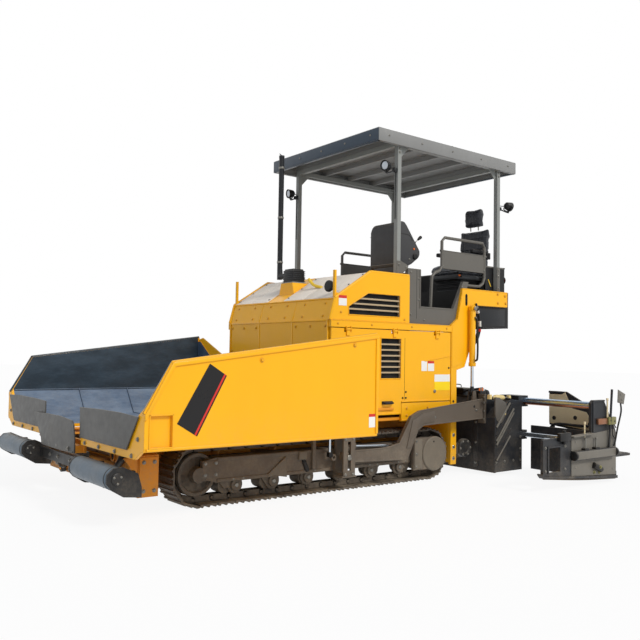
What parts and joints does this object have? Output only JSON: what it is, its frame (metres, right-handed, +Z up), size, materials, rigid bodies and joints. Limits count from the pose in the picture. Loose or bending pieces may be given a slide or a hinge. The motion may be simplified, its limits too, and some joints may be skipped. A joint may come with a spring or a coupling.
{
  "type": "asphalt paver",
  "caption": "Crawler asphalt paver with folding hopper wings, push rollers, tunnel conveyors, augers, canopy, operator's station and an extending screed on tow arms.",
  "frame": {"origin": "on the ground under the centre of the whole machine's box, with the hopper wings open and the screed extensions out", "axes": "+X forward, the hopper's end; +Y left, the side of the seat and console; +Z up"},
  "size_m": [5.565, 4.31, 3.552],
  "materials": {
    "yellow_paint": "semi-gloss",
    "orange_paint": "semi-gloss",
    "brown_grey_paint": "satin",
    "dark_grey_paint": "satin",
    "black_paint": "satin",
    "worn_steel": "worn",
    "bright_rod": "polished",
    "seat_vinyl": "soft"
  },
  "bodies": {
    "tractor": {"chassis": "orange_paint", "engine": "dark_grey_paint", "front_bulkhead": "yellow_paint", "hood": "yellow_paint", "operator_platform": "brown_grey_paint", "rear_cabinet": "black_paint", "canopy_frame": "dark_grey_paint", "canopy_roof": "dark_grey_paint", "exhaust_stack": "black_paint", "centre_flap": "dark_grey_paint", "track_left": "worn_steel", "track_frame_left": "brown_grey_paint", "conveyor_left": "worn_steel", "rear_frame_left": "yellow_paint", "side_skirt_left": "yellow_paint", "track_right": "worn_steel", "track_frame_right": "brown_grey_paint", "conveyor_right": "worn_steel", "rear_frame_right": "yellow_paint", "side_skirt_right": "yellow_paint"},
    "roller_beam": {"roller_beam": "black_paint"},
    "screed": {"screed_frame": "black_paint", "tow_arm_left": "brown_grey_paint", "tow_arm_right": "brown_grey_paint"},
    "wing_left": {"hopper_wing_left": "yellow_paint", "wing_flap_left": "dark_grey_paint"},
    "wing_barrel_left": {"wing_cylinder_left": "dark_grey_paint"},
    "wing_rod_left": {"wing_rod_left": "bright_rod"},
    "push_roller_left": {"push_roller_left": "worn_steel"},
    "door_left": {"side_door_left": "yellow_paint"},
    "auger_left": {"auger_left": "worn_steel"},
    "extension_left": {"screed_extension_left": "black_paint"},
    "lift_barrel_left": {"lift_cylinder_left": "yellow_paint"},
    "lift_rod_left": {"lift_rod_left": "bright_rod"},
    "wing_right": {"hopper_wing_right": "yellow_paint", "wing_flap_right": "dark_grey_paint"},
    "wing_barrel_right": {"wing_cylinder_right": "dark_grey_paint"},
    "wing_rod_right": {"wing_rod_right": "bright_rod"},
    "push_roller_right": {"push_roller_right": "worn_steel"},
    "door_right": {"side_door_right": "yellow_paint"},
    "auger_right": {"auger_right": "worn_steel"},
    "extension_right": {"screed_extension_right": "black_paint"},
    "lift_barrel_right": {"lift_cylinder_right": "yellow_paint"},
    "lift_rod_right": {"lift_rod_right": "bright_rod"},
    "console": {"console": "dark_grey_paint"},
    "seat": {"seat_base": "dark_grey_paint", "seat_cushion": "seat_vinyl", "seat_back": "seat_vinyl"}
  },
  "joints": [
    {"name": "roller_beam_swing", "type": "hinge", "parent": "tractor", "child": "roller_beam", "pos_m": [2.4425, 0, 0.37], "axis": [0, 0, 1], "range_deg": [-4, 4]},
    {"name": "screed_lift", "type": "hinge", "parent": "tractor", "child": "screed", "pos_m": [0.3375, 0, 0.325], "axis": [0, 1, 0], "range_deg": [-0.6, 8]},
    {"name": "wing_fold_left", "type": "hinge", "parent": "tractor", "child": "wing_left", "pos_m": [1.5375, 0.4, 0.56], "axis": [1, 0, 0], "range_deg": [0, 65]},
    {"name": "wing_cylinder_swing_left", "type": "hinge", "parent": "tractor", "child": "wing_barrel_left", "pos_m": [2.4275, 0.5, 0.19], "axis": [1, 0, 0], "range_deg": [0, 41.5]},
    {"name": "wing_rod_slide_left", "type": "slide", "parent": "wing_barrel_left", "child": "wing_rod_left", "axis": [0, 0.7904, 0.6126], "range_m": [0, 0.33]},
    {"name": "push_roller_spin_left", "type": "hinge", "parent": "roller_beam", "child": "push_roller_left", "pos_m": [2.6975, 0.975, 0.37], "axis": [0, 1, 0], "continuous": true},
    {"name": "side_door_open_left", "type": "hinge", "parent": "tractor", "child": "door_left", "pos_m": [-0.3875, 0.925, 1.518], "axis": [1, 0, 0], "range_deg": [0, 85]},
    {"name": "auger_spin_left", "type": "hinge", "parent": "tractor", "child": "auger_left", "pos_m": [-1.4475, 0.465, 0.285], "axis": [0, 1, 0], "continuous": true},
    {"name": "extension_slide_left", "type": "slide", "parent": "screed", "child": "extension_left", "axis": [0, 1, 0], "range_m": [-0.85, 0]},
    {"name": "lift_cylinder_swing_left", "type": "hinge", "parent": "tractor", "child": "lift_barrel_left", "pos_m": [-1.5125, 0.962, 1.8], "axis": [0, 1, 0], "range_deg": [-7.4, 0.6]},
    {"name": "lift_rod_slide_left", "type": "slide", "parent": "lift_barrel_left", "child": "lift_rod_left", "axis": [0, 0, -1], "range_m": [-0.25, 0.02]},
    {"name": "wing_fold_right", "type": "hinge", "parent": "tractor", "child": "wing_right", "pos_m": [1.5375, -0.4, 0.56], "axis": [-1, 0, 0], "range_deg": [0, 65]},
    {"name": "wing_cylinder_swing_right", "type": "hinge", "parent": "tractor", "child": "wing_barrel_right", "pos_m": [2.4275, -0.5, 0.19], "axis": [-1, 0, 0], "range_deg": [0, 41.5]},
    {"name": "wing_rod_slide_right", "type": "slide", "parent": "wing_barrel_right", "child": "wing_rod_right", "axis": [0, -0.7904, 0.6126], "range_m": [0, 0.33]},
    {"name": "push_roller_spin_right", "type": "hinge", "parent": "roller_beam", "child": "push_roller_right", "pos_m": [2.6975, -0.975, 0.37], "axis": [0, 1, 0], "continuous": true},
    {"name": "side_door_open_right", "type": "hinge", "parent": "tractor", "child": "door_right", "pos_m": [-0.3875, -0.925, 1.518], "axis": [-1, 0, 0], "range_deg": [0, 85]},
    {"name": "auger_spin_right", "type": "hinge", "parent": "tractor", "child": "auger_right", "pos_m": [-1.4475, -0.465, 0.285], "axis": [0, 1, 0], "continuous": true},
    {"name": "extension_slide_right", "type": "slide", "parent": "screed", "child": "extension_right", "axis": [0, -1, 0], "range_m": [-0.85, 0]},
    {"name": "lift_cylinder_swing_right", "type": "hinge", "parent": "tractor", "child": "lift_barrel_right", "pos_m": [-1.5125, -0.962, 1.8], "axis": [0, 1, 0], "range_deg": [-7.4, 0.6]},
    {"name": "lift_rod_slide_right", "type": "slide", "parent": "lift_barrel_right", "child": "lift_rod_right", "axis": [0, 0, -1], "range_m": [-0.25, 0.02]},
    {"name": "console_slide", "type": "slide", "parent": "tractor", "child": "console", "axis": [0, 1, 0], "range_m": [-1, 0]},
    {"name": "seat_slide", "type": "slide", "parent": "tractor", "child": "seat", "axis": [0, 1, 0], "range_m": [-1.04, 0]}
  ],
  "couplings": [
    {"joint": "wing_cylinder_swing_left", "follows": "wing_fold_left", "ratio": 0.6286},
    {"joint": "wing_rod_slide_left", "follows": "wing_fold_left", "m_per_rad": 0.2886},
    {"joint": "lift_cylinder_swing_left", "follows": "screed_lift", "ratio": -0.92},
    {"joint": "lift_rod_slide_left", "follows": "screed_lift", "m_per_rad": -1.765},
    {"joint": "wing_cylinder_swing_right", "follows": "wing_fold_right", "ratio": 0.6286},
    {"joint": "wing_rod_slide_right", "follows": "wing_fold_right", "m_per_rad": 0.2886},
    {"joint": "lift_cylinder_swing_right", "follows": "screed_lift", "ratio": -0.92},
    {"joint": "lift_rod_slide_right", "follows": "screed_lift", "m_per_rad": -1.765}
  ]
}
